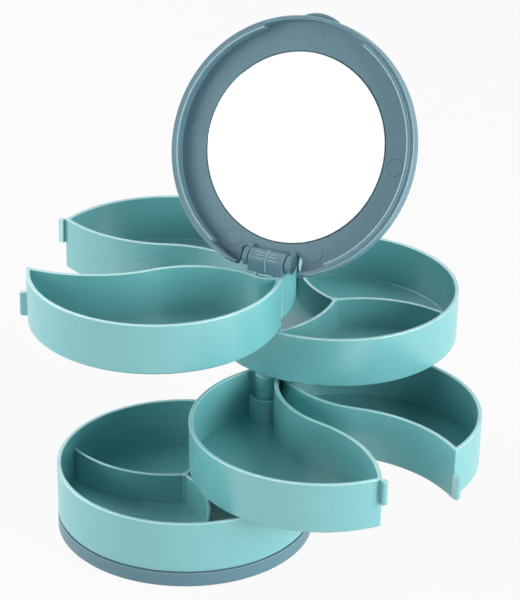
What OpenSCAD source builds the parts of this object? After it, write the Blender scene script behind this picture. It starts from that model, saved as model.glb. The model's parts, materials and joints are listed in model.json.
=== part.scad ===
// Rotating jewellery box: round trays and split trays that swing out about one
// eccentric upright axle, on a round foot, under a hinged lid with a mirror.
// Every tray is drawn with the axle at the origin and its front tip along +X,
// then turned about the axle to where it stands.

/* [Trays] */
// Outside diameter of the trays at the rim
tray_d = 103; // [90:1:130]
// Height of a tray
tray_h = 21.4; // [18:0.1:30]
// Gap between a rim and the tray above it
layer_gap = 1.45; // [1:0.05:3]
// Thickness of the tray walls
wall = 1.7; // [1.2:0.1:2.2]
// Thickness of the tray floors
floor_t = 1.6; // [1.2:0.1:3]
// Amount the outer wall leans in from rim to floor
draft = 0.3; // [0.05:0.05:0.35]
// Chamfer along the rims
rim_chamfer = 0.35; // [0.1:0.05:0.5]
// Chamfer where a wall meets the floor
floor_chamfer = 0.5; // [0.2:0.1:1.5]
// Chamfer around the underside
under_chamfer = 0.8; // [0.2:0.1:1.2]

/* [Dividers] */
// Height of the dividers above the tray's underside
divider_h = 14.6; // [8:0.1:18]
// Thickness of a divider
divider_t = 1.5; // [1:0.1:2.5]
// Radius of a divider's curve
divider_curve = 45.5; // [38:0.5:80]
// Direction of the first divider where it leaves the middle
divider_turn = -36; // [-50:1:-20]
// Diameter of the joint where the dividers meet
divider_hub_d = 2.8; // [2:0.1:5]
// Rise of that joint above the dividers
hub_rise = 0.2; // [0.1:0.1:1]

/* [Split trays] */
// Distance past a tray's middle at which the S wall crosses the centre line
split_shift = 1.4; // [-3:0.1:5]
// Bow of the S wall's outer arc
split_bow = 6; // [3:0.1:9]
// Gap between the two halves when they meet
split_gap = 0.4; // [0.2:0.05:0.8]
// Largest angle between the two halves
fan_max = 60; // [40:1:66]
// Height of the right half's boss, with the left half's eye above it
boss_h = 11.6; // [8:0.1:14]
// Diameter of that boss inside the right half's compartment
room_boss_d = 14; // [12:0.1:15]
// Diameter of the left half's eye
eye_d = 9.4; // [7:0.1:9.8]
// Clearance around the eye
eye_gap = 0.25; // [0.1:0.05:0.4]
// Width of the finger tab at a half's tip
tab_w = 2.2; // [1.6:0.1:4]
// Distance the finger tab stands out
tab_out = 2.8; // [1.5:0.1:4]
// Chamfer at the finger tab's end
tab_edge = 0.6; // [0.2:0.1:0.7]
// Distance of the left half's finger tab from the centre line
tab_shift = 0.9; // [0.6:0.1:1.2]
// Depth cut off the right half's tip
right_blunt = 0.4; // [0.1:0.1:0.6]
// Depth cut off the left half's sharper tip
left_blunt = 1; // [0.2:0.1:1.2]
// Step between the S wall and the boss that it runs around
boss_step = 0.1; // [0.05:0.05:1]
// Direction from the axle in which the left half's corner ends
left_end = 130; // [124:1:134]
// Direction from the axle in which the left half's compartment ends
left_room_end = 110; // [100:1:118]
// Angle left free behind the axle when the halves stand widest
fan_spare = 4; // [2:1:8]
// Angle by which the eye's web laps the left half's wall
web_lap = 8; // [4:1:14]

/* [Axle] */
// Diameter of the tray bosses around the axle
boss_d = 11.2; // [10:0.1:14]
// Distance from a boss to the outside of the rim
boss_margin = 0.4; // [0.4:0.1:1]
// Diameter of the axle rod
rod_d = 4; // [3:0.1:5]
// Radial running clearance on the rod and on the hinge pin
running_fit = 0.05; // [0.02:0.01:0.08]
// Radial clearance of a pressed or screwed fit
seat_fit = 0.02; // [0.01:0.01:0.05]
// Play between stacked pieces on the axle
axial_play = 0.1; // [0.05:0.05:0.3]
// Diameter of the spacer washers
washer_d = 9; // [8:0.1:11.5]
// Chamfer at the rod's top end
rod_chamfer = 0.2; // [0.1:0.05:0.4]
// Diameter of the washer under the rod
axle_washer_d = 6.2; // [5.8:0.1:7]
// Thickness of the washer under the rod
axle_washer_t = 0.6; // [0.4:0.1:0.8]
// Height of the axle screw's head
axle_head_h = 1.7; // [1.2:0.1:1.8]
// Height of the pocket under the rod
well_top = 3; // [2.8:0.1:4]
// Thickness of the wall around that pocket
well_wall = 1; // [0.8:0.1:2]

/* [Base] */
// Height of the foot under the lowest tray
base_h = 6.9; // [6:0.1:12]
// Distance by which the foot stands inside the rims
foot_in = 0.2; // [0:0.1:3]
// Height of the shadow groove below the lowest tray
groove_h = 0.8; // [0.6:0.1:2]
// Depth of the shadow groove
groove_in = 1; // [0.5:0.1:2]
// Thickness of the foot's plate
plate_t = 2.2; // [1.6:0.1:3]
// Thickness of the foot's wall
foot_wall = 2; // [1.5:0.1:3]
// Chamfer around the foot's underside
foot_chamfer = 0.6; // [0.2:0.1:1]
// Distance of the foot screws from the foot's edge
screw_in = 15.4; // [12:0.1:24]
// Number of foot screws
screw_count = 3; // [3:1:4]
// Diameter of a screw's shank
screw_d = 2.5; // [2:0.1:3]
// Diameter of a screw's head
screw_head_d = 5; // [4:0.1:5.5]
// Height of a foot screw's head
screw_head_h = 1; // [0.8:0.1:1.4]
// Length of a screw's shank
screw_l = 6; // [5:0.5:8]
// Chamfer around a screw's head
head_chamfer = 0.4; // [0.2:0.1:0.6]
// Clearance around a screw's head
head_gap = 0.4; // [0.2:0.1:0.8]
// Height of the foot screws' heads above the floor
head_z = 0.2; // [0.1:0.1:0.6]
// Thickness of the wall around a screw in the lowest tray's posts
post_wall = 2; // [1.2:0.1:3]

/* [Lid] */
// Distance by which the lid stands out past the rims
lid_over = 0.9; // [0.3:0.1:2]
// Height of the lid's top above the highest rim
lid_top = 8.4; // [7.5:0.1:12]
// Thickness of the lid's plate
lid_plate = 2.4; // [2:0.1:3]
// Thickness of the lid's skirt
lid_skirt = 1.6; // [1.2:0.1:2.5]
// Gap between the skirt and the highest rim
lid_gap = 1.1; // [0.7:0.1:2]
// Rounding of the lid's top edge
lid_edge = 2.4; // [1.5:0.1:3]
// Thickness of the lip inside the lid's skirt
lip_t = 1.3; // [0.8:0.1:1.8]
// Lap of the lip into the skirt
lip_lap = 0.1; // [0.05:0.05:0.3]
// Distance the lip reaches below the skirt
lip_drop = 0.5; // [0.2:0.1:0.6]
// Angle from the front where the lip starts
lip_from = 26; // [15:1:40]
// Angle from the front where the lip ends
lip_to = 150; // [120:1:152]
// Diameter of the thumb tab's outline
thumb_d = 30; // [20:1:40]
// Distance the thumb tab stands out
thumb_out = 1.8; // [1.5:0.1:4]
// Thickness of the thumb tab
thumb_t = 3.6; // [2:0.1:4.5]
// Chamfer around the thumb tab
thumb_edge = 0.7; // [0.3:0.1:0.9]

/* [Mirror] */
// Border of the lid around the mirror
mirror_border = 13.9; // [13:0.1:20]
// Thickness of the mirror
mirror_t = 1.2; // [0.8:0.1:1.4]
// Thickness of the adhesive pad behind the mirror
pad_t = 0.3; // [0.2:0.1:0.6]
// Depth of the mirror's recess in the lid
recess = 1.3; // [0.8:0.1:1.5]
// Clearance around the mirror
mirror_gap = 0.4; // [0.1:0.1:0.6]
// Bevel of the mirror's front edge
mirror_bevel = 0.2; // [0.1:0.1:0.5]
// Border of the recess that the pad leaves free
pad_border = 3; // [1:0.5:8]

/* [Lid hinge] */
// Height of the hinge axis above the highest rim
hinge_z = 4.4; // [4.3:0.1:5]
// Distance of the hinge axis behind the axle
hinge_back = 0.8; // [0.5:0.1:1.5]
// Diameter of the knuckle's barrel
barrel_d = 8; // [7:0.1:8.2]
// Length of the knuckle's barrel
barrel_l = 15.5; // [12:0.5:20]
// Diameter of the hinge pin
pin_d = 2.5; // [2:0.1:3]
// Thickness of a lid lug
lug_t = 2.2; // [1.6:0.1:3]
// Diameter of a lid lug
lug_d = 7.4; // [6:0.1:7.8]
// Side clearance between barrel, lug and slot
hinge_gap = 0.5; // [0.2:0.05:0.8]
// Width of the slot beside a lug
slot_w = 3; // [1:0.1:4]
// Clearance in front of the barrel
notch_gap = 0.05; // [0.05:0.05:1]
// Distance by which the slots stop short of the notch's front
slot_short = 0.2; // [0.1:0.1:2]
// Cut across the slots' inner corners
slot_corner = 1.2; // [0.2:0.1:1.6]
// Reach of a lug's root past the notch's front
lug_root = 1.2; // [0.8:0.1:1.6]
// Clearance under the lid's back edge as it swings
swing_gap = 0.3; // [0.2:0.1:0.8]
// Height of the knuckle's block above the highest rim
block_z = 0.15; // [0.15:0.05:1]
// Cover left between the rod's top and the hinge pin
rod_cover = 0.9; // [0.5:0.1:1.2]
// Diameter of the knuckle's collar
collar_d = 6.4; // [5.6:0.1:7]

/* [Pose] */
// Turn of the lower right half from closed
lower_turn = 72; // [0:1:180]
// Angle between the lower halves
lower_fan = 21.5; // [0:0.5:40]
// Turn of the middle tray from closed
middle_turn = 187; // [0:1:360]
// Turn of the upper right half from closed
upper_turn = -74.5; // [-180:0.5:0]
// Angle between the upper halves
upper_fan = 28.5; // [0:0.5:40]
// Turn of the lid from closed
lid_turn = 18.5; // [-180:0.5:180]
// Angle the lid stands open
lid_open = 116; // [0:1:116]

/* [Hidden] */
$fn = 96;

teal = "#8cc8cb";
slate = "#647f8d";
steel = "#c4c8cc";
nylon = "#78b4b8";

// Overrun of a cut past the face it opens
over = 1;
// Reach of the wedges and half planes that divide a tray
far = 3 * tray_d;

tray_r = tray_d / 2;
boss_r = boss_d / 2;
rod_r = rod_d / 2;
bore_r = rod_r + running_fit;
// Distance from the axle to the middle of a tray
axle_off = tray_r - boss_r - boss_margin;
tip = axle_off + tray_r;
pitch = tray_h + layer_gap;
lower_z = base_h + pitch;
middle_z = base_h + 2 * pitch;
upper_z = base_h + 3 * pitch;
top_z = upper_z + tray_h;

// The S wall: an outer arc from the tip to the crossing, an inner arc that runs on from it
// without a kink, and a last arc about the axle, which the inner arc touches
half_gap = split_gap / 2;
split_cross = axle_off + split_shift;
arc_chord = (tip - split_cross) / 2;
outer_r = (arc_chord * arc_chord + split_bow * split_bow) / (2 * split_bow);
outer_c = [split_cross + arc_chord, split_bow - outer_r];
slope = asin(arc_chord / outer_r);
hug_r = boss_r + boss_step + half_gap;
inner_r = (split_cross * split_cross - hug_r * hug_r) / (2 * (hug_r + split_cross * sin(slope)));
inner_c = [split_cross - inner_r * sin(slope), inner_r * cos(slope)];
// Direction from the axle in which the inner arc touches the arc about the axle
hug_angle = atan2(inner_c[1], inner_c[0]);
// Direction from the axle in which the right half's wall starts
right_start = left_end + fan_max + fan_spare;
eye_r = eye_d / 2;
web_from = left_room_end - web_lap;

// The foot and its screws
foot_r = tray_r - foot_in;
neck_r = foot_r - groove_in;
groove_z = base_h - groove_h;
screw_ring = foot_r - screw_in;
screw_r = screw_d / 2;
head_r = screw_head_d / 2;
tray_post_r = screw_r + post_wall;
// The pocket under the axle
axle_washer_r = axle_washer_d / 2;
well_r = axle_washer_r + head_gap;
well_boss_r = well_r + well_wall;
rod_end_z = well_top - axial_play / 2;

// The hinge and the lid, with heights from the highest rim
pin_r = pin_d / 2;
barrel_r = barrel_d / 2;
collar_z = axial_play;
rod_top_z = top_z + hinge_z - pin_r - running_fit - rod_cover;
lug_r = lug_d / 2;
lug_in = barrel_l / 2 + hinge_gap;
lug_out = lug_in + lug_t;
notch_front = barrel_r - hinge_back + notch_gap;
slot_front = notch_front - slot_short;
lid_r = tray_r + lid_over;
plate_z = lid_top - lid_plate;
lip_r = lid_r - lid_skirt;
mirror_r = lid_r - mirror_border;
pad_z = plate_z + recess - pad_t;

// Turns a piece about the axle, away from closed, and lifts it to its layer
module on_axle(turn, z) {
    translate([0, axle_off, z]) rotate(turn - 90) children();
}

// Round solid whose radius grows by foot at its lower edge and by top at its upper edge,
// and which runs on past its upper edge
module turned(r, z0, z1, foot = 0, top = 0, run = 0) {
    low = foot == 0 ? [[r, z0]] : [[r + foot, z0], [r, z0 + abs(foot)]];
    high = top == 0 ? [[r, z1 + run]] : [[r, z1 - abs(top)], [r + top + sign(top) * run, z1 + run]];
    rotate_extrude() polygon(concat([[0, z0]], low, high, [[0, z1 + run]]));
}

// Wedge about the axle between two directions
module wedge(from, to, z0, z1) {
    steps = ceil((to - from) / 60);
    translate([0, 0, z0]) linear_extrude(z1 - z0)
        polygon(concat([[0, 0]], [for (i = [0 : steps]) let (a = from + (to - from) * i / steps)
            far * [cos(a), sin(a)]]));
}

// All that lies on the tip's side (1) or the axle's side (-1) of the line through the arcs' centres
module side_of_crossing(side, z0, z1) {
    translate([split_cross, 0, z0]) rotate(slope) translate([side > 0 ? 0 : -far, -far / 2, 0])
        cube([far, far, z1 - z0]);
}

// Outside of a whole tray, about its middle
module tray_outside(under = under_chamfer) {
    low_r = tray_r - draft;
    rotate_extrude() polygon([
        [0, 0], [low_r - under, 0], [low_r, under],
        [tray_r, tray_h - rim_chamfer], [tray_r - rim_chamfer, tray_h], [0, tray_h]
    ]);
}

// Room inside a whole tray, about its middle
module tray_inside() {
    turned(tray_r - wall, floor_t, tray_h, -floor_chamfer, rim_chamfer, over);
}

// One curved divider from the middle of a tray to its wall
module divider() {
    start = divider_hub_d / 4;
    intersection() {
        translate([0, -divider_curve, 0]) difference() {
            turned(divider_curve + divider_t / 2, floor_t / 2, divider_h, 0, -rim_chamfer);
            turned(divider_curve - divider_t / 2, 0, divider_h, 0, rim_chamfer, over);
        }
        cylinder(r = tray_r - wall / 2, h = tray_h);
        translate([-start, -far / 2, 0]) cube([far, far, tray_h]);
    }
}

// Whole tray with three dividers and a boss around the axle
module round_tray(under) {
    difference() {
        union() {
            translate([axle_off, 0, 0]) {
                difference() {
                    tray_outside(under);
                    tray_inside();
                }
                for (i = [0 : 2]) rotate(divider_turn + 120 * i) divider();
                turned(divider_hub_d / 2, floor_t / 2, divider_h + hub_rise, 0, -rim_chamfer);
            }
            intersection() {
                turned(boss_r, 0, tray_h, 0, -rim_chamfer);
                translate([axle_off, 0, 0]) tray_outside(under);
            }
        }
        axle_bore(0, tray_h);
    }
}

// Bore for the axle rod
module axle_bore(z0, z1) {
    translate([0, 0, z0 - over]) cylinder(r = bore_r, h = z1 - z0 + 2 * over);
}

// Upright cylinder about a point of the plan, from z0 to past the rim
module column(c, r, z0) {
    translate([c[0], c[1], z0]) cylinder(r = r, h = tray_h + over - z0);
}

// The right half's share of the plan above z0, less an inset, for its outside or its room
module right_share(inset, z0, spare = 0) {
    grow = half_gap + inset;
    column(outer_c, outer_r - grow, z0);
    difference() {
        intersection() {
            wedge(right_start + spare, 360 + hug_angle - spare, z0, tray_h + over);
            side_of_crossing(-1, z0, tray_h + over);
        }
        column(inner_c, inner_r + grow, z0);
    }
}

// The left half's share of the plan above z0, less an inset, for its outside or its room
module left_share(inset, z0, end) {
    grow = half_gap + inset;
    column(inner_c, inner_r - grow, z0);
    difference() {
        side_of_crossing(1, z0, tray_h + over);
        column(outer_c, outer_r + grow, z0);
    }
    difference() {
        wedge(hug_angle, end, z0, tray_h + over);
        column([0, 0], hug_r + grow, z0);
    }
}

// All within a depth of the tip, seen along a direction that points into a half
module blunt_tip(direction, depth) {
    translate([tip, 0, -over]) rotate(direction) translate([depth - far, -far / 2, 0])
        cube([far, far, tray_h + 2 * over]);
}

// Finger tab at the tip between two heights, with its corners cut in plan and from the side
module finger_tab(z0, z1, shift = 0) {
    half_w = tab_w / 2;
    low = tab_out - tab_edge - over;
    high = tab_out + over;
    translate([tip, shift, 0]) intersection() {
        translate([0, 0, z0]) linear_extrude(z1 - z0) polygon([
            [-wall, -half_w], [tab_out - tab_edge, -half_w], [tab_out, -half_w + tab_edge],
            [tab_out, half_w - tab_edge], [tab_out - tab_edge, half_w], [-wall, half_w]
        ]);
        rotate([90, 0, 0]) translate([0, 0, -tab_w]) linear_extrude(2 * tab_w) polygon([
            [-2 * wall, z0 - over], [low, z0 - over], [high, z0 + tab_edge + over],
            [high, z1 - tab_edge - over], [low, z1 + over], [-2 * wall, z1 + over]
        ]);
    }
}

// Right half: its boss carries the axle at the lower half, its tab is at the upper half
module right_half() {
    difference() {
        union() {
            difference() {
                intersection() {
                    translate([axle_off, 0, 0]) tray_outside();
                    right_share(0, -over);
                }
                blunt_tip((450 - slope) / 2, right_blunt);
            }
            difference() {
                finger_tab(tray_h / 2 + half_gap, tray_h - rim_chamfer / 2);
                difference() {
                    column([axle_off, 0], tray_r + half_gap, 0);
                    column(outer_c, outer_r - half_gap, -over);
                }
            }
        }
        intersection() {
            translate([axle_off, 0, 0]) tray_inside();
            right_share(wall, floor_t);
        }
    }
}

// Left half: its eye turns on the axle above the boss, its tab is at the lower half
module left_half() {
    difference() {
        union() {
            difference() {
                intersection() {
                    translate([axle_off, 0, 0]) tray_outside();
                    left_share(0, -over, left_end);
                }
                blunt_tip((270 - slope) / 2, left_blunt);
            }
            difference() {
                finger_tab(rim_chamfer, tray_h / 2 - half_gap, tab_shift);
                intersection() {
                    column([axle_off, 0], tray_r + half_gap, 0);
                    column(outer_c, outer_r + half_gap, -over);
                }
            }
        }
        intersection() {
            translate([axle_off, 0, 0]) tray_inside();
            left_share(wall, floor_t, left_room_end);
        }
    }
}

// Right half with the boss around the axle, which is wider inside the compartment
module right_tray() {
    difference() {
        union() {
            right_half();
            turned(boss_r, 0, boss_h - axial_play, -under_chamfer, -rim_chamfer);
            intersection() {
                turned(room_boss_d / 2, floor_t / 2, boss_h, 0, -rim_chamfer);
                translate([axle_off, 0, 0]) cylinder(r = tray_r - wall / 2, h = tray_h);
                right_share(wall / 2, 0, fan_spare);
            }
        }
        axle_bore(0, boss_h);
        column([0, 0], eye_r + eye_gap, boss_h + axial_play / 2);
    }
}

// Left half with its eye and the web that carries it
module left_tray() {
    eye_z = boss_h + axial_play;
    difference() {
        union() {
            left_half();
            translate([0, 0, eye_z]) turned(eye_r, 0, tray_h - eye_z, 0, -rim_chamfer);
            intersection() {
                wedge(web_from, left_end, eye_z, tray_h);
                cylinder(r = hug_r + half_gap + wall / 2, h = tray_h - rim_chamfer);
                translate([axle_off, 0, 0]) tray_outside();
            }
        }
        axle_bore(eye_z, tray_h);
    }
}

// Places of the foot screws, one of them at the front
module at_screws() {
    for (i = [0 : screw_count - 1]) rotate(-90 + 360 * i / screw_count)
        translate([screw_ring, 0, 0]) children();
}

// Dish under the lowest tray, with a shadow groove below it
module base_foot() {
    color(slate) difference() {
        union() {
            rotate_extrude() polygon([
                [0, 0], [foot_r - foot_chamfer, 0], [foot_r, foot_chamfer],
                [foot_r, groove_z], [neck_r, groove_z], [neck_r, base_h],
                [neck_r - foot_wall, base_h], [neck_r - foot_wall, plate_t], [0, plate_t]
            ]);
            intersection() {
                translate([0, axle_off, 0]) cylinder(r = well_boss_r, h = base_h);
                cylinder(r = neck_r - foot_wall / 2, h = base_h);
            }
        }
        translate([0, axle_off, 0]) {
            translate([0, 0, -over]) cylinder(r = well_r, h = well_top + over);
            axle_bore(0, base_h);
        }
        at_screws() {
            translate([0, 0, -over]) cylinder(r = screw_r + head_gap, h = plate_t + 2 * over);
            translate([0, 0, -over])
                cylinder(r = head_r + head_gap, h = over + head_z + screw_head_h);
        }
    }
}

// Lowest tray, with posts below its floor for the foot screws
module base_tray() {
    color(teal) difference() {
        union() {
            on_axle(0, base_h) round_tray(rim_chamfer);
            at_screws() translate([0, 0, plate_t])
                cylinder(r = tray_post_r, h = base_h - plate_t + floor_t / 2);
        }
        at_screws() translate([0, 0, plate_t - over])
            cylinder(r = screw_r + seat_fit, h = over + base_h - plate_t);
    }
}

// Screws that hold the foot to the lowest tray
module base_screws() {
    color(steel) at_screws() translate([0, 0, head_z]) {
        turned(head_r, 0, screw_head_h, -head_chamfer, 0);
        cylinder(r = screw_r, h = screw_head_h + min(screw_l, base_h - head_z - screw_head_h - axial_play));
    }
}

// Right half of the lower split tray
module lower_right_tray() {
    color(teal) on_axle(lower_turn, lower_z) right_tray();
}

// Left half of the lower split tray
module lower_left_tray() {
    color(teal) on_axle(lower_turn + lower_fan, lower_z) left_tray();
}

// Whole tray between the two split trays
module middle_tray() {
    color(teal) on_axle(middle_turn, middle_z) round_tray(under_chamfer);
}

// Right half of the upper split tray
module upper_right_tray() {
    color(teal) on_axle(upper_turn, upper_z) right_tray();
}

// Left half of the upper split tray
module upper_left_tray() {
    color(teal) on_axle(upper_turn + upper_fan, upper_z) left_tray();
}

// Steel rod through all the trays, tapped at its lower end
module axle_rod() {
    color(steel) on_axle(0, 0) difference() {
        translate([0, 0, rod_end_z]) turned(rod_r, 0, rod_top_z - rod_end_z, 0, -rod_chamfer);
        translate([0, 0, rod_end_z - over]) cylinder(r = screw_r + seat_fit, h = screw_l + 2 * over);
    }
}

// Screw that ties the rod to the foot
module axle_screw() {
    head_top = rod_end_z - axle_washer_t;
    color(steel) on_axle(0, head_top - axle_head_h) {
        turned(head_r, 0, axle_head_h, -head_chamfer, 0);
        cylinder(r = screw_r, h = axle_head_h + axle_washer_t + screw_l);
    }
}

// Washer between that screw's head and the rod's end
module axle_washer() {
    color(steel) on_axle(0, rod_end_z - axle_washer_t) difference() {
        cylinder(r = axle_washer_r, h = axle_washer_t);
        translate([0, 0, -over]) cylinder(r = screw_r + seat_fit, h = axle_washer_t + 2 * over);
    }
}

// Slip washer in the gap between two layers
module spacer(layer_z) {
    color(nylon) on_axle(0, layer_z - layer_gap + axial_play) difference() {
        cylinder(r = washer_d / 2, h = layer_gap - 2 * axial_play);
        axle_bore(0, layer_gap);
    }
}

module spacer_lower() { spacer(lower_z); }
module spacer_middle() { spacer(middle_z); }
module spacer_upper() { spacer(upper_z); }

// Round bar along the hinge axis
module on_hinge(r, half_l) {
    translate([-hinge_back, half_l, hinge_z]) rotate([90, 0, 0]) cylinder(r = r, h = 2 * half_l);
}

// Barrel on the axle's top end that carries the lid
module hinge_knuckle() {
    color(slate) on_axle(lid_turn, top_z) difference() {
        union() {
            on_hinge(barrel_r, barrel_l / 2);
            translate([-hinge_back - barrel_r, -barrel_l / 2, block_z])
                cube([barrel_d, barrel_l, hinge_z - block_z]);
            translate([0, 0, collar_z]) cylinder(r = collar_d / 2, h = hinge_z - barrel_r / 2 - collar_z);
        }
        on_hinge(pin_r + running_fit, barrel_l);
        translate([0, 0, -over]) cylinder(r = rod_r + seat_fit, h = over + rod_top_z - top_z + seat_fit);
    }
}

// Places a piece of the lid, drawn closed, where the lid stands open
module on_lid() {
    on_axle(lid_turn, top_z) translate([-hinge_back, 0, hinge_z]) rotate([0, -lid_open, 0])
        translate([hinge_back, 0, -hinge_z]) children();
}

// Pin through the barrel, seated in the lid's lugs
module hinge_pin() {
    color(steel) on_lid() on_hinge(pin_r, lug_out);
}

// Two arcs of the lip inside the skirt
module lid_lip() {
    lip_z = lid_gap - lip_drop;
    intersection() {
        difference() {
            cylinder(r = lip_r + lip_lap, h = plate_z + lid_plate / 2);
            translate([0, 0, -over]) cylinder(r = lip_r - lip_t, h = plate_z + lid_plate);
        }
        for (side = [0, 1]) mirror([0, side, 0]) wedge(lip_from, lip_to, lip_z, plate_z + lid_plate / 2);
    }
}

// Thumb tab at the lid's front
module thumb_tab() {
    thumb_r = thumb_d / 2;
    difference() {
        translate([lid_r + thumb_out - thumb_r, 0, lid_top - lid_edge / 2 - thumb_t])
            turned(thumb_r, 0, thumb_t, -thumb_edge, -thumb_edge);
        cylinder(r = lid_r - lid_skirt / 2, h = lid_top);
    }
}

// All behind the hinge axis that would strike the highest rim as the lid swings
module swing_relief() {
    difference() {
        translate([-far - hinge_back, -far / 2, -over]) cube([far, far, lid_top + 2 * over]);
        on_hinge(hinge_z - swing_gap, far);
    }
}

// Slots that free the lugs from the rest of the lid
module lug_slots() {
    half_w = lug_out + slot_w;
    translate([0, 0, -over]) linear_extrude(lid_top + 2 * over) polygon([
        [-far, -half_w], [slot_front - slot_corner, -half_w], [slot_front, slot_corner - half_w],
        [slot_front, half_w - slot_corner], [slot_front - slot_corner, half_w], [-far, half_w]
    ]);
}

// Lid with its skirt, lip, mirror recess, thumb tab and hinge lugs
module lid_shell() {
    // Distance of the rounded edge's middle from the lid's square corner
    bevel = lid_edge * (1 - cos(45));
    color(slate) on_lid() difference() {
        union() {
            difference() {
                translate([axle_off, 0, 0]) {
                    rotate_extrude() polygon([
                        [0, plate_z], [lid_r - lid_skirt, plate_z], [lid_r - lid_skirt, lid_gap],
                        [lid_r - rim_chamfer, lid_gap], [lid_r, lid_gap + rim_chamfer],
                        [lid_r, lid_top - lid_edge], [lid_r - bevel, lid_top - bevel],
                        [lid_r - lid_edge, lid_top], [0, lid_top]
                    ]);
                    lid_lip();
                    thumb_tab();
                }
                translate([axle_off, 0, plate_z - over])
                    cylinder(r = mirror_r + mirror_gap, h = recess + over);
                translate([-far, -lug_in, -over]) cube([far + notch_front, 2 * lug_in, lid_top + 2 * over]);
                lug_slots();
                swing_relief();
            }
            for (side = [0, 1]) mirror([0, side, 0]) translate([0, lug_in, 0]) {
                translate([-hinge_back, 0, hinge_z]) rotate([-90, 0, 0]) cylinder(r = lug_r, h = lug_t);
                translate([-hinge_back, 0, hinge_z])
                    cube([hinge_back + notch_front + lug_root, lug_t, lid_top - hinge_z]);
            }
        }
        on_hinge(pin_r + seat_fit, lug_out + over);
    }
}

// Adhesive pad between the lid and the mirror
module mirror_pad() {
    color("#3a3d40") on_lid() translate([axle_off, 0, pad_z]) cylinder(r = mirror_r - pad_border, h = pad_t);
}

// Round mirror
module mirror_glass() {
    color("#f4f7f8") on_lid() translate([axle_off, 0, pad_z - mirror_t])
        turned(mirror_r, 0, mirror_t, -mirror_bevel, 0);
}

base_foot();
base_tray();
base_screws();
lower_right_tray();
lower_left_tray();
middle_tray();
upper_right_tray();
upper_left_tray();
axle_rod();
axle_screw();
axle_washer();
spacer_lower();
spacer_middle();
spacer_upper();
hinge_knuckle();
hinge_pin();
lid_shell();
mirror_pad();
mirror_glass();
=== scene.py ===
# %% [markdown]
# # A rotating jewellery box
# The box is a stack of moulded plastic trays that swing about one upright rod near the rim, under a
# lid with a round mirror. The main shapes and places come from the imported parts, so this lesson
# only adds what the eye needs: rounded edges, finishes, small moulded details, light and a camera.

import json
from math import atan2, cos, degrees, pi, radians, sin

import bmesh
import bpy
from mathutils import Matrix, Vector


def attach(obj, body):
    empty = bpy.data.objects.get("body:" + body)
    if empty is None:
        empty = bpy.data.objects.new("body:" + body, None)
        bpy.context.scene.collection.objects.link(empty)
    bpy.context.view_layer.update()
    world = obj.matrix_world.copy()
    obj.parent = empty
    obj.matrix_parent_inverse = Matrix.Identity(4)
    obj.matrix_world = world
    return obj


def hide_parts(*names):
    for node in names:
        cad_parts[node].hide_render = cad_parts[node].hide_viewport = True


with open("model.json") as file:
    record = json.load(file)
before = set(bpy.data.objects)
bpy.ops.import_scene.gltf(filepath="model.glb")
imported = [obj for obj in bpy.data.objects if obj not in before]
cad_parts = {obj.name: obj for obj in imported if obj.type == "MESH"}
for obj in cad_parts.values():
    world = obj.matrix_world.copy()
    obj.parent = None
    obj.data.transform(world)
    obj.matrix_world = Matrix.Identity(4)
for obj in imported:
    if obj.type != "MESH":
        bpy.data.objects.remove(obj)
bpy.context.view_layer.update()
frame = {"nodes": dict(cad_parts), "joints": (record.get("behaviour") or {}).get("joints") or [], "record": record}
nodes = frame["nodes"]
MM = 0.001

# %% [markdown]
# ## Where things turn
# The lid stands open and leans back, and a detail is hard to draw on a slanted face. It is easier on
# a closed lid that lies flat, with one matrix that then carries it to the open lid. The record keeps
# each joint's place and axis: the rod stands where the lid swivels, and the hinge's axis tells which
# way the lid faces.

# %% Places taken from the joints
joints = {joint["name"]: joint for joint in frame["joints"]}
axle = Vector(joints["lid_swivel"]["pos_m"])
hinge_point = Vector(joints["lid_hinge"]["pos_m"])
hinge_axis = Vector(joints["lid_hinge"]["axis"])
lid_open = radians(-joints["lid_hinge"]["range_deg"][0])
lid_heading = atan2(hinge_axis.x, -hinge_axis.y)
axle_offset = axle.xy.length

lid_swing = (
    Matrix.Translation(hinge_point)
    @ Matrix.Rotation(lid_open, 4, hinge_axis)
    @ Matrix.Translation(-hinge_point)
)
# The closed lid's own frame: X towards the thumb tab, Z up, origin on the lid's middle at the rim
lid_place = (
    lid_swing
    @ Matrix.Translation(axle)
    @ Matrix.Rotation(lid_heading, 4, "Z")
    @ Matrix.Translation((axle_offset, 0, 0))
)
print("lid stands open by", round(degrees(lid_open), 1), "degrees")

# %% [markdown]
# ## Colours and scales
# A hex code is a colour as a screen shows it, while shaders work in linear light. Linear numbers
# could be typed in, but they are hard to read, so one function converts hex codes. A texture's scale
# says how many features fit in a metre, and a second function finds it from a size in millimetres.

# %% Linear colour and texture scale
def colour(code):
    """Linear colour of an sRGB hex code."""
    parts = [int(code[i:i + 2], 16) / 255 for i in (1, 3, 5)]
    return [c / 12.92 if c <= 0.04045 else ((c + 0.055) / 1.055) ** 2.4 for c in parts] + [1.0]


def per_mm(size):
    """Texture scale for features of that size in millimetres."""
    return 1 / (size * MM)


print("mid grey in linear light:", round(colour("#808080")[0], 3))

# %% [markdown]
# ## Foam tape
# The pad behind the mirror is dark closed-cell foam tape. It is matte, and pitted where cells were
# cut open. The pits could be modelled, but they are shallow and mostly covered, so a cell texture in
# the bump is enough. One function adds a node, sets its options and fills or links its inputs, and
# that keeps every material as short as a recipe.

# %% Nodes, and a first material
def add(tree, kind, inputs, **settings):
    """Adds a node: settings are its own options, inputs are values or other nodes' outputs."""
    node = tree.nodes.new(kind)
    for name, value in settings.items():
        setattr(node, name, value)
    for name, value in inputs.items():
        if isinstance(value, bpy.types.NodeSocket):
            tree.links.new(value, node.inputs[name])
        else:
            node.inputs[name].default_value = value
    return node


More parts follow.
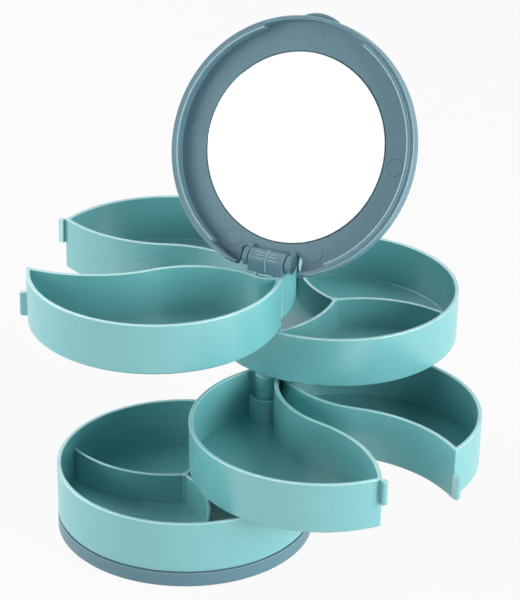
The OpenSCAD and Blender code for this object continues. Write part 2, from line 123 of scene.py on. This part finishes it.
def new_material(name):
    """Material with its tree, its shader and the object's own coordinates."""
    material = bpy.data.materials.new(name)
    material.use_nodes = True
    tree = material.node_tree
    place = add(tree, "ShaderNodeTexCoord", {}).outputs["Object"]
    return material, tree, tree.nodes["Principled BSDF"], place


def foam_tape():
    """Closed-cell foam: dark and matte, with small pits that are drawn coarse enough to show."""
    material, tree, shader, place = new_material("closed_cell_foam_tape")
    cells = add(tree, "ShaderNodeTexVoronoi", {"Vector": place, "Scale": per_mm(0.8)})
    bump = add(tree, "ShaderNodeBump", {
        "Height": cells.outputs["Distance"], "Strength": 0.5, "Distance": 0.1 * MM})
    tree.links.new(bump.outputs["Normal"], shader.inputs["Normal"])
    shader.inputs["Base Color"].default_value = colour("#3a3d40")
    shader.inputs["Roughness"].default_value = 0.9
    return material


foam = foam_tape()
print("made", foam.name, "from", len(foam.node_tree.nodes), "nodes")

# %% [markdown]
# ## Moulded plastic
# Trays, lid and foot are injection mouldings in a coloured polymer. The mould is spark eroded to a
# fine satin, so light spreads into soft broad highlights, and melt flow leaves the colour a touch
# uneven over a few centimetres. The satin's grit is far finer than a pixel, so it is drawn coarser,
# and a little of it goes into the colour as well.
# Such plastic is slightly milky and lets a little light out at thin edges, but the bright lines on
# rims and corners are mostly the lamps' highlights. Subsurface scattering could show the milkiness,
# but it would soften the walls too. Instead the rounded pieces below mark their edges with an
# attribute, and the material reads it to paint those faces paler: a painted highlight.

# %% Material of the mouldings
flow_size = 24
grit_size = 0.9
grit_depth = 0.1 * MM
tint_range = (0.25, 0.75)
gloss_spread = 0.06


def moulded_plastic(name, base, cloud, edge, roughness, ior, sheen):
    """Satin polymer: soft broad highlights, faint clouds in the colour, painted highlights on marked edges."""
    material, tree, shader, place = new_material(name)
    flow = add(tree, "ShaderNodeTexNoise", {"Vector": place, "Scale": per_mm(flow_size), "Detail": 2.0})
    grit = add(tree, "ShaderNodeTexNoise", {"Vector": place, "Scale": per_mm(grit_size), "Detail": 3.0})
    # A Mix node's sockets share their names, so they go by number: 0 is the factor, 2 and 3 take
    # numbers and 6 and 7 colours, and the results are 0 for a number and 2 for a colour
    mottle = add(tree, "ShaderNodeMix", {
        0: 0.5, 2: flow.outputs["Fac"], 3: grit.outputs["Fac"]}, data_type="FLOAT")
    tint = add(tree, "ShaderNodeValToRGB", {"Fac": mottle.outputs[0]})
    for stop, position, code in zip(tint.color_ramp.elements, tint_range, (cloud, base)):
        stop.position = position
        stop.color = colour(code)
    # The marked faces take the pale colour: a painted highlight on rims and roundings
    highlight_mask = add(tree, "ShaderNodeAttribute", {}, attribute_name="edge")
    highlight_paint = add(tree, "ShaderNodeMix", {
        0: highlight_mask.outputs["Fac"], 6: tint.outputs["Color"], 7: colour(edge)}, data_type="RGBA")
    gloss = add(tree, "ShaderNodeMapRange", {
        "Value": grit.outputs["Fac"],
        "To Min": roughness - gloss_spread, "To Max": roughness + gloss_spread})
    bump = add(tree, "ShaderNodeBump", {
        "Height": grit.outputs["Fac"], "Strength": 0.2, "Distance": grit_depth})
    tree.links.new(highlight_paint.outputs[2], shader.inputs["Base Color"])
    tree.links.new(gloss.outputs["Result"], shader.inputs["Roughness"])
    tree.links.new(bump.outputs["Normal"], shader.inputs["Normal"])
    shader.inputs["IOR"].default_value = ior
    shader.inputs["Specular IOR Level"].default_value = sheen
    return material


# Each plastic's pale third colour is the painted highlight on its marked rims and roundings
# The trays' polypropylene shines more than the ABS of lid, barrel and foot
teal = moulded_plastic(
    "teal_polypropylene_satin", base="#6ab1b4", cloud="#64aaad", edge="#a0d3d7",
    roughness=0.3, ior=1.64, sheen=1.0)
slate = moulded_plastic(
    "slate_abs_satin", base="#5d808d", cloud="#587a87", edge="#aecbd3",
    roughness=0.42, ior=1.5, sheen=0.4)
print("plastics:", teal.name, slate.name)

# %% [markdown]
# ## Mirror, steel and nylon
# The mirror is silvered float glass. Clear glass in front of a silver layer could be two pieces, but
# the layer lies so close behind the face that one polished metal looks the same. The rod, pin and
# screws are made of bright steel wire, and the die that it was drawn through leaves fine lines along
# it. An anisotropic shader could show them, but it needs a direction on each face, and a stretched
# noise in the gloss doesn't. The slip washers are nylon, dyed like the trays and milky.

# %% Materials of the small parts
def silvered_glass():
    """Mirror: nearly all light comes back, and a faint smear shows where the surface is."""
    material, tree, shader, place = new_material("silvered_float_glass")
    smear = add(tree, "ShaderNodeTexNoise", {"Vector": place, "Scale": per_mm(14), "Detail": 4.0})
    gloss = add(tree, "ShaderNodeMapRange", {
        "Value": smear.outputs["Fac"], "To Min": 0.01, "To Max": 0.03})
    tree.links.new(gloss.outputs["Result"], shader.inputs["Roughness"])
    shader.inputs["Base Color"].default_value = colour("#fbfcfc")
    shader.inputs["Metallic"].default_value = 1.0
    return material


def drawn_steel():
    """Drawn wire: bright, with lines along the upright rod, wider than real ones so that they show."""
    material, tree, shader, place = new_material("drawn_steel")
    along = add(tree, "ShaderNodeMapping", {"Vector": place, "Scale": (1.0, 1.0, 0.05)})
    lines = add(tree, "ShaderNodeTexNoise", {
        "Vector": along.outputs["Vector"], "Scale": per_mm(0.25), "Detail": 2.0})
    gloss = add(tree, "ShaderNodeMapRange", {
        "Value": lines.outputs["Fac"], "To Min": 0.2, "To Max": 0.38})
    tree.links.new(gloss.outputs["Result"], shader.inputs["Roughness"])
    shader.inputs["Base Color"].default_value = colour("#c9ccd0")
    shader.inputs["Metallic"].default_value = 1.0
    return material


def dyed_nylon():
    """Moulded nylon: milky and soft, a little uneven in its gloss."""
    material, tree, shader, place = new_material("dyed_nylon")
    milk = add(tree, "ShaderNodeTexNoise", {"Vector": place, "Scale": per_mm(2), "Detail": 2.0})
    gloss = add(tree, "ShaderNodeMapRange", {
        "Value": milk.outputs["Fac"], "To Min": 0.45, "To Max": 0.6})
    tree.links.new(gloss.outputs["Result"], shader.inputs["Roughness"])
    shader.inputs["Base Color"].default_value = colour("#6fb0b5")
    shader.inputs["IOR"].default_value = 1.53
    return material


glass = silvered_glass()
steel = drawn_steel()
nylon = dyed_nylon()
print("small parts:", glass.name, steel.name, nylon.name)

# %% [markdown]
# ## Rounded mouldings
# A mould never leaves a knife edge: rims, tabs and corners have a small radius or a chamfer. The
# bright line along the rims is partly the light that this radius catches and partly a painted
# highlight. A Bevel modifier could round them, but its new faces come too late for a script to mark
# them for that paint. So each moulding is a merged copy of its part, and the bevel operator rounds
# its sharp edges and hands back the faces that it made. The operator holds the radius back to what a
# part's tightest spot allows, so chamfers are shaded smooth and look round too. The part itself stays
# hidden, and keeps its place in the frame.

# %% Merged copies and new pieces
weld_distance = 0.001 * MM
flat_angle = radians(0.4)


def merged_copy(node):
    """Bmesh of a part, with its loose triangles joined into flat faces."""
    bm = bmesh.new()
    bm.from_mesh(nodes[node].data)
    bmesh.ops.remove_doubles(bm, verts=bm.verts, dist=weld_distance)
    bmesh.ops.dissolve_limit(
        bm, angle_limit=flat_angle, use_dissolve_boundaries=False,
        verts=bm.verts, edges=bm.edges, delimit=set())
    return bm


def linked_object(name, bm):
    """Object in the scene that takes over a bmesh."""
    mesh = bpy.data.meshes.new(name)
    bm.to_mesh(mesh)
    bm.free()
    thing = bpy.data.objects.new(name, mesh)
    bpy.context.scene.collection.objects.link(thing)
    return thing


def put(piece, material):
    """Gives a piece one material."""
    piece.data.materials.clear()
    piece.data.materials.append(material)


def new_piece(name, bm, material, body, crease=radians(35)):
    """Piece on a body, shaded smooth across bends up to the crease."""
    piece = linked_object(name, bm)
    piece.data.shade_smooth()
    piece.data.set_sharp_from_angle(angle=crease)
    put(piece, material)
    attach(piece, body)
    print(name, "faces:", len(piece.data.polygons))
    return piece


sample = merged_copy("lid_shell")
print("lid triangles:", len(nodes["lid_shell"].data.polygons), "merged faces:", len(sample.faces))

# %% Which faces are edge lines
clear_bend = radians(20)
chamfer_width = 0.6 * MM


def is_chamfer(face):
    """True for a narrow face that slopes away from an outward bend."""
    bends = {e: e.calc_face_angle_signed(0) for e in face.edges}
    if min(bends.values()) < -clear_bend:
        return False
    for e, bend in bends.items():
        start = e.verts[0].co
        along = (e.verts[1].co - start).normalized()
        width = max((v.co - start).cross(along).length for v in face.verts)
        if bend > clear_bend and width < chamfer_width:
            return True
    return False


def mark_edges(bm, rounded, edge, rim_width, level):
    """Marks outward roundings, chamfers and the thin rims beside them for the painted highlight."""
    marked = {f for f in rounded if sum(e.calc_face_angle_signed(0) for e in f.edges) > 0}
    marked |= {f for f in bm.faces if f not in rounded and is_chamfer(f)}
    rims = set()
    for face in bm.faces:
        around = face.calc_perimeter()
        # A strip is about as wide as twice its area over its outline
        if face not in rounded and 2 * face.calc_area() < rim_width * around:
            beside = [e for e in face.edges if marked & (set(e.link_faces) - {face})]
            if sum(e.calc_length() for e in beside) > around / 2:
                rims.add(face)
    for face in marked | rims:
        face[edge] = level


print("chamfer faces on the lid:", sum(is_chamfer(face) for face in sample.faces))
sample.free()

# %% Rounded copies of the mouldings
sharp_angle = radians(60)
rounding_steps = 3
tray_radius = 0.25 * MM
tray_rim = 1.8 * MM
slate_radius = 0.3 * MM
slate_rim = 0.5 * MM
# How strong the painted highlight on the edges is: 0 is the wall's own colour, and 1 the pale one
tray_highlight_strength = 1.0
slate_highlight_strength = {"base_foot": 0.25, "lid_shell": 0.4, "hinge_knuckle": 1.0}
bodies = frame["record"]["behaviour"]["bodies"]
body_of = {node: body for body, group in bodies.items() for node in group}


def rounded_copy(node, material, radius, rim_width, level):
    """Piece with rounded edges and painted rim highlights that takes the place of a moulded part."""
    bm = merged_copy(node)
    edge = bm.faces.layers.float.new("edge")
    sharp = [e for e in bm.edges if e.is_manifold and e.calc_face_angle() > sharp_angle]
    rounded = set(bmesh.ops.bevel(
        bm, geom=sharp, affect="EDGES", offset_type="OFFSET", offset=radius, segments=rounding_steps,
        profile=0.5, material=-1, clamp_overlap=True, loop_slide=True)["faces"])
    print(node, "edges rounded:", len(sharp))
    mark_edges(bm, rounded, edge, rim_width, level)
    piece = new_piece(node + "_rounded", bm, material, body_of[node], crease=sharp_angle)
    even = piece.modifiers.new("even shading", "WEIGHTED_NORMAL")
    even.keep_sharp = True
    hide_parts(node)


for node in nodes:
    if node.endswith("_tray"):
        rounded_copy(node, teal, tray_radius, tray_rim, tray_highlight_strength)
for node, level in slate_highlight_strength.items():
    rounded_copy(node, slate, slate_radius, slate_rim, level)

# %% [markdown]
# ## Ejector marks
# Pins push a moulding out of its mould. Each leaves a faint disc with a raised lip, and five of them
# show on the flange round the mirror. A bump could draw them, but a lip that stands up catches the
# light from every side. A short profile is spun into a disc, which is set on the flange of the
# closed lid and then carried to the open one.

# %% Where the marks lie on the closed lid
to_closed = lid_place.inverted()
mirror_radius = max((to_closed @ v.co).xy.length for v in nodes["mirror_glass"].data.vertices)
lid_points = [to_closed @ v.co for v in nodes["lid_shell"].data.vertices]
flange_z = min(p.z for p in lid_points if p.x > 0 and abs(p.xy.length - mirror_radius) < MM)
mark_ring = 43.5 * MM
mark_angles = (0, 90, -90, 156, -156)
mark_steps = 40
# Radius and height in millimetres, from the middle over the lip and back inside the flange
mark_profile = ((0, 0.03), (3.2, 0.03), (3.3, 0.15), (3.55, 0.15), (3.7, 0), (3.7, -0.1), (0, -0.1))
print("mirror radius", round(mirror_radius / MM, 2), "mm, flange at", round(flange_z / MM, 2), "mm")


# %% Ejector marks on the lid's flange
def ejector_mark(bm, angle):
    """Disc that faces down from the flange of the closed lid, at an angle from the thumb tab."""
    before = set(bm.verts)
    outline = [bm.verts.new((r * MM, 0, -z * MM)) for r, z in mark_profile]
    rim = [bm.edges.new(pair) for pair in zip(outline, outline[1:])]
    bmesh.ops.spin(
        bm, geom=outline + rim, cent=(0, 0, 0), axis=(0, 0, 1), angle=2 * pi, steps=mark_steps,
        use_merge=True)
    disc = [v for v in bm.verts if v not in before]
    spot = Vector((mark_ring * cos(angle), mark_ring * sin(angle), flange_z))
    bmesh.ops.translate(bm, verts=disc, vec=spot)


def close_up(bm):
    """Merges doubles, then turns all faces outwards."""
    bmesh.ops.remove_doubles(bm, verts=bm.verts, dist=weld_distance)
    bmesh.ops.recalc_face_normals(bm, faces=bm.faces)


bm = bmesh.new()
for angle in mark_angles:
    ejector_mark(bm, radians(angle))
bmesh.ops.transform(bm, matrix=lid_place, verts=bm.verts)
close_up(bm)
new_piece("lid_ejector_marks", bm, slate, "lid")

# %% [markdown]
# ## Rolled edge of the lip
# Two arcs of a lip inside the lid's skirt keep the closed lid in its place on the top trays. Their
# inner edge is rolled, and the pale line it draws round the flange is a painted highlight on that
# roll. A curve with a round section could follow the lip, but it would have to be made a mesh
# afterwards. A small circle that is spun along each arc gives a mesh at once.

# %% Where the lip runs on the closed lid
level_slack = 0.02 * MM
radius_slack = 0.05 * MM
lip_z = min(p.z for p in lid_points)
lip_points = [p for p in lid_points if p.z < lip_z + level_slack]
lip_inner = min(p.xy.length for p in lip_points)
lip_angles = [abs(atan2(p.y, p.x)) for p in lip_points if p.xy.length < lip_inner + radius_slack]
lip_from = min(lip_angles)
lip_to = max(lip_angles)
print("lip from", round(degrees(lip_from)), "to", round(degrees(lip_to)), "degrees on each side")

# %% Rolled edge on the lid's lip
roll_radius = 0.32 * MM
roll_sunk = 0.15 * MM
roll_sides = 12
roll_steps = 72
roll_highlight_strength = 0.55


def once(items):
    """The items in their order, each of them once."""
    return list(dict.fromkeys(items))


def paint_highlight_all(bm, level):
    """Marks every face for the painted highlight."""
    edge = bm.faces.layers.float.new("edge")
    for face in bm.faces:
        face[edge] = level


bm = bmesh.new()
for side in (-1, 1):
    start = (
        Matrix.Rotation(side * lip_from, 4, "Z")
        @ Matrix.Translation((lip_inner + roll_sunk, 0, lip_z + roll_sunk))
        @ Matrix.Rotation(pi / 2, 4, "X")
    )
    ring = bmesh.ops.create_circle(bm, segments=roll_sides, radius=roll_radius, matrix=start)["verts"]
    loop = once(e for v in ring for e in v.link_edges)
    bmesh.ops.spin(
        bm, geom=ring + loop, cent=(0, 0, 0), axis=(0, 0, 1), angle=side * (lip_to - lip_from),
        steps=roll_steps)
bmesh.ops.holes_fill(bm, edges=[e for e in bm.edges if e.is_boundary], sides=roll_sides)
# The whole roll gets the pale colour: a painted highlight.
paint_highlight_all(bm, roll_highlight_strength)
bmesh.ops.transform(bm, matrix=lid_place, verts=bm.verts)
close_up(bm)
new_piece("lid_lip_roll", bm, slate, "lid")

# %% [markdown]
# ## Ribs on the barrel
# The hinge's barrel has a fine ridge round its middle and short ribs beside it, which stand proud by
# less than the gap to the lid. A Boolean could join them to the barrel, but ribs that are sunk into
# it look the same and leave its mesh alone. The ridge is a small section spun round the barrel and
# drawn down its flat front. Each rib is a block with rounded edges, turned to its place.

# %% Sizes of the ribs
knuckle_place = Matrix.Translation(hinge_point) @ Matrix.Rotation(lid_heading, 4, "Z")
to_knuckle = knuckle_place.inverted()
barrel_radius = max((to_knuckle @ v.co).z for v in nodes["hinge_knuckle"].data.vertices)
front_drop = 3.6 * MM
rib_proud = 0.18 * MM
rib_sunk = 0.3 * MM
ridge_width = 0.5 * MM
ridge_turn = radians(110)
ridge_steps = 16
rib_width = 0.4 * MM
rib_length = 3.6 * MM
rib_offset = 2.8 * MM
rib_rounding = 0.1 * MM
rib_angles = (26, 45, 64)
rib_highlight_strength = 0.5
print("barrel radius", round(barrel_radius / MM, 2), "mm")


# %% Ribs on the hinge's barrel
def verts_of(geom):
    """The vertices among what an operator hands back."""
    return [item for item in geom if isinstance(item, bmesh.types.BMVert)]


def middle_ridge(bm):
    """Ridge over the top of the barrel and down its front."""
    corners = ((-rib_sunk, -0.5), (rib_proud, -0.5), (rib_proud, 0.5), (-rib_sunk, 0.5))
    section = [bm.verts.new((barrel_radius + out, side * ridge_width, 0)) for out, side in corners]
    loop = [bm.edges.new((section[i - 1], section[i])) for i in range(len(section))]
    bmesh.ops.spin(
        bm, geom=section + loop, cent=(0, 0, 0), axis=(0, 1, 0), angle=-ridge_turn, steps=ridge_steps)
    drawn = bmesh.ops.extrude_edge_only(bm, edges=loop)["geom"]
    bmesh.ops.translate(bm, verts=verts_of(drawn), vec=(0, 0, -front_drop))
    bmesh.ops.holes_fill(bm, edges=[e for e in bm.edges if e.is_boundary], sides=len(section))


def short_rib(bm, angle, side):
    """Block with rounded edges, at an angle round the barrel on one side of the ridge."""
    spot = Matrix.Rotation(-angle, 4, "Y") @ Matrix.Translation(
        (barrel_radius + (rib_proud - rib_sunk) / 2, side * rib_offset, 0))
    size = Matrix.Diagonal((rib_proud + rib_sunk, rib_length, rib_width, 1))
    block = bmesh.ops.create_cube(bm, size=1, matrix=spot @ size)["verts"]
    bmesh.ops.bevel(
        bm, geom=once(e for v in block for e in v.link_edges), affect="EDGES", offset=rib_rounding,
        offset_type="OFFSET", segments=2, profile=0.5, material=-1)


bm = bmesh.new()
middle_ridge(bm)
for angle in rib_angles:
    for side in (-1, 1):
        short_rib(bm, radians(angle), side)
# The ridge and ribs are painted pale all over: a painted highlight.
paint_highlight_all(bm, rib_highlight_strength)
bmesh.ops.transform(bm, matrix=knuckle_place, verts=bm.verts)
close_up(bm)
new_piece("hinge_barrel_ribs", bm, slate, "swivel")

# %% [markdown]
# ## Screws with a cross recess
# The foot's screws and the rod's screw have a cross recess for the driver, seen from below. A dark
# cross laid on the head would look flat, so the recess is really cut. A cross is what is left of a
# grid of nine squares without its corners. It is drawn into a tapered plug, and a Boolean takes the
# plug out of a copy of each screw.

# %% Plugs for the recesses
recess_span = 2.8 * MM
recess_depth = 1.0 * MM
recess_taper = 0.7
# The middles of the corner squares lie farther out than this, and those of the other five don't
corner_reach = 0.4 * recess_span


def cross_plugs(heads):
    """Tapered crosses that reach up into the heads from just below them."""
    bm = bmesh.new()
    for head in heads:
        squares = bmesh.ops.create_grid(bm, x_segments=3, y_segments=3, size=recess_span / 2)["verts"]
        faces = once(f for v in squares for f in v.link_faces)
        cut = [f for f in faces if f.calc_center_median().xy.length > corner_reach]
        bmesh.ops.delete(bm, geom=cut, context="FACES")
        cross = [f for f in faces if f.is_valid]
        below = once(v for f in cross for v in f.verts)
        top = verts_of(bmesh.ops.extrude_face_region(bm, geom=cross, use_keep_orig=True)["geom"])
        bmesh.ops.scale(bm, verts=top, vec=(recess_taper, recess_taper, 1))
        bmesh.ops.translate(bm, verts=top, vec=(0, 0, 2 * recess_depth))
        bmesh.ops.translate(bm, verts=below + top, vec=head - Vector((0, 0, recess_depth)))
    bmesh.ops.recalc_face_normals(bm, faces=bm.faces)
    return linked_object("cross_plugs", bm)


print("recess span", round(recess_span / MM, 1), "mm, depth", round(recess_depth / MM, 1), "mm")

# %% Screws with their recesses cut
head_slack = 0.01 * MM


def recessed_screws(node):
    """Copy of a part's screws with a cross cut into each lowest face."""
    bm = merged_copy(node)
    lowest = min(v.co.z for v in bm.verts)
    middles = [f.calc_center_median() for f in bm.faces]
    heads = [point for point in middles if point.z < lowest + head_slack]
    close_up(bm)
    piece = new_piece(node + "_recessed", bm, steel, body_of[node])
    plugs = cross_plugs(heads)
    cut = piece.modifiers.new("cross recess", "BOOLEAN")
    cut.object = plugs
    cut.operation = "DIFFERENCE"
    cut.solver = "EXACT"
    shaped = piece.evaluated_get(bpy.context.evaluated_depsgraph_get())
    mesh = bpy.data.meshes.new_from_object(shaped)
    piece.modifiers.clear()
    piece.data = mesh
    bpy.data.objects.remove(plugs)
    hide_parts(node)
    print(node, "recesses:", len(heads), "faces:", len(mesh.polygons))


for node in ("base_screws", "axle_screw"):
    recessed_screws(node)

# %% [markdown]
# ## Parts that stay as they are
# The rod, pin, washers, pad and mirror could be copied and rounded too. They are small, hidden or
# flat and have their true shapes already, so they only get a finish.

# %% Finishes of the other parts
finish_of = {
    "mirror_glass": glass, "mirror_pad": foam,
    "axle_rod": steel, "axle_washer": steel, "hinge_pin": steel,
    "spacer_lower": nylon, "spacer_middle": nylon, "spacer_upper": nylon,
}
for node, material in finish_of.items():
    put(nodes[node], material)
print("finished as they are:", len(finish_of))

# %% [markdown]
# ## Floor
# The box stands on pale paper that runs out past the picture. More light could turn the paper white,
# but it would bleach the box as well. Instead rays from the camera, and those that the mirror sends
# back, see the even white of a studio sweep, with a share of the true paper left in so that the box
# keeps its shadow.

# %% Sheet of paper
floor_size = 8.0
floor_drop = 0.05 * MM
bm = bmesh.new()
bmesh.ops.create_grid(bm, x_segments=1, y_segments=1, size=floor_size / 2)
bmesh.ops.translate(bm, verts=bm.verts, vec=(0, 0, -floor_drop))
floor = linked_object("studio_floor", bm)
print(floor.name, "is", floor_size, "m wide")

# %% White that only eyes and mirrors see
studio_white = "#fafafa"
sweep_strength = 1.02
sweep_share = 0.93


def seen_by_eyes(tree):
    """1 for rays from the camera, from gloss or through glass, else 0."""
    rays = add(tree, "ShaderNodeLightPath", {})
    seen = add(tree, "ShaderNodeMath", {
        0: rays.outputs["Is Camera Ray"], 1: rays.outputs["Is Glossy Ray"]}, operation="MAXIMUM")
    return add(tree, "ShaderNodeMath", {
        0: seen.outputs[0], 1: rays.outputs["Is Transmission Ray"]}, operation="MAXIMUM").outputs[0]


def studio_paper():
    """Matte paper that keeps a shadow under the white of the sweep."""
    material, tree, shader, _ = new_material("pale_studio_paper")
    shader.inputs["Base Color"].default_value = colour("#f4f4f4")
    shader.inputs["Roughness"].default_value = 0.9
    shader.inputs["Specular IOR Level"].default_value = 0.0
    sweep = add(tree, "ShaderNodeEmission", {"Color": colour(studio_white), "Strength": sweep_strength})
    share = add(tree, "ShaderNodeMath", {0: seen_by_eyes(tree), 1: sweep_share}, operation="MULTIPLY")
    mixed = add(tree, "ShaderNodeMixShader", {
        0: share.outputs[0], 1: shader.outputs["BSDF"], 2: sweep.outputs["Emission"]})
    tree.links.new(mixed.outputs["Shader"], tree.nodes["Material Output"].inputs["Surface"])
    return material


put(floor, studio_paper())
print("floor covered with", floor.data.materials[0].name)

# %% [markdown]
# ## White room
# Behind the box there is only the white of the studio, also in the mirror. A backdrop could be built,
# but the world does it from every side at once, by the same rule as the floor. As a light the room
# is almost dark, because the lamps alone shape the box.

# %% World
room_light = 0.03
room_white = 1.12
world = bpy.data.worlds.new("white_studio")
bpy.context.scene.world = world
world.use_nodes = True
tree = world.node_tree
room = tree.nodes["Background"]
room.inputs["Color"].default_value = colour("#ffffff")
room.inputs["Strength"].default_value = room_light
white = add(tree, "ShaderNodeBackground", {"Color": colour(studio_white), "Strength": room_white})
mixed = add(tree, "ShaderNodeMixShader", {
    0: seen_by_eyes(tree), 1: room.outputs["Background"], 2: white.outputs["Background"]})
tree.links.new(mixed.outputs["Shader"], tree.nodes["World Output"].inputs["Surface"])
print("world:", world.name)

# %% [markdown]
# ## Soft lights
# Two broad soft lights stand low on the left and right, so the walls are bright outside while the
# trays grow darker towards their floors. Weaker ones fill in from the front and the right, one from
# behind catches rims and hinge, and one overhead lifts the floors a little. Lamps could be placed by
# coordinates. A photographer says how far round from the camera and how high a lamp stands, so a
# function takes those two angles and aims each lamp at the box.

# %% Soft lights
view_turn = radians(44.71)
lit_height = 75 * MM
lit_point = Vector((axle.x, axle.y, lit_height))
# Name, turn from the camera and rise in degrees, distance and size in metres, power in watts
softboxes = (
    ("left_softbox", -82, 8, 1.1, 1.0, 15.2),
    ("right_softbox", 58, 8, 1.1, 0.8, 19.0),
    ("front_softbox", -24, 8, 1.2, 0.7, 1.4),
    ("side_softbox", 80, 35, 1.2, 0.8, 2.8),
    ("back_softbox", -145, 48, 1.3, 1.0, 8.0),
    ("top_softbox", 0, 86, 1.2, 1.0, 1.2),
)


def direction(turn, rise):
    """Unit vector from the box, turned from its front and raised from the floor."""
    return Vector((sin(turn) * cos(rise), -cos(turn) * cos(rise), sin(rise)))


def softbox(name, turn, rise, distance, size, watts):
    """Square area light at an angle from the camera, aimed at the box."""
    away = direction(view_turn + radians(turn), radians(rise))
    lamp = bpy.data.lights.new(name, "AREA")
    lamp.size = size
    lamp.energy = watts
    holder = bpy.data.objects.new(name, lamp)
    holder.location = lit_point + away * distance
    holder.rotation_euler = away.to_track_quat("Z", "Y").to_euler()
    bpy.context.scene.collection.objects.link(holder)


for lamp_values in softboxes:
    softbox(*lamp_values)
print("lamps:", len(softboxes))

# %% [markdown]
# ## Camera
# A long lens from slightly above, as for a catalogue picture. The lens and the distance were worked
# out from the picture's perspective, and a tiny roll levels the rims as they appear there. The
# picture is taller than it is wide, so the sensor's width lies along its height.

# %% Camera
view_rise = radians(25.97)
view_roll = radians(0.83)
picture_height = 600
focal_pixels = 2822.66
camera_distance = 1135.21 * MM
# The point looked at, beside the rod as the camera sees it, and above the floor
aim_right = -3.15 * MM
aim_up = 83.87 * MM
camera = bpy.data.cameras.new("catalogue_camera")
camera.sensor_width = 36
camera.lens = focal_pixels / picture_height * camera.sensor_width
eye = bpy.data.objects.new("catalogue_camera", camera)
bpy.context.scene.collection.objects.link(eye)
to_camera = direction(view_turn, view_rise)
sideways = Vector((cos(view_turn), sin(view_turn), 0))
aim_point = Vector((axle.x, axle.y, aim_up)) + sideways * aim_right
eye.location = aim_point + to_camera * camera_distance
facing = (-to_camera).to_track_quat("-Z", "Y").to_matrix()
eye.rotation_euler = (facing @ Matrix.Rotation(view_roll, 3, "Z")).to_euler()
bpy.context.scene.camera = eye
bpy.context.scene.view_settings.view_transform = "Standard"
print("lens", round(camera.lens, 1), "mm")
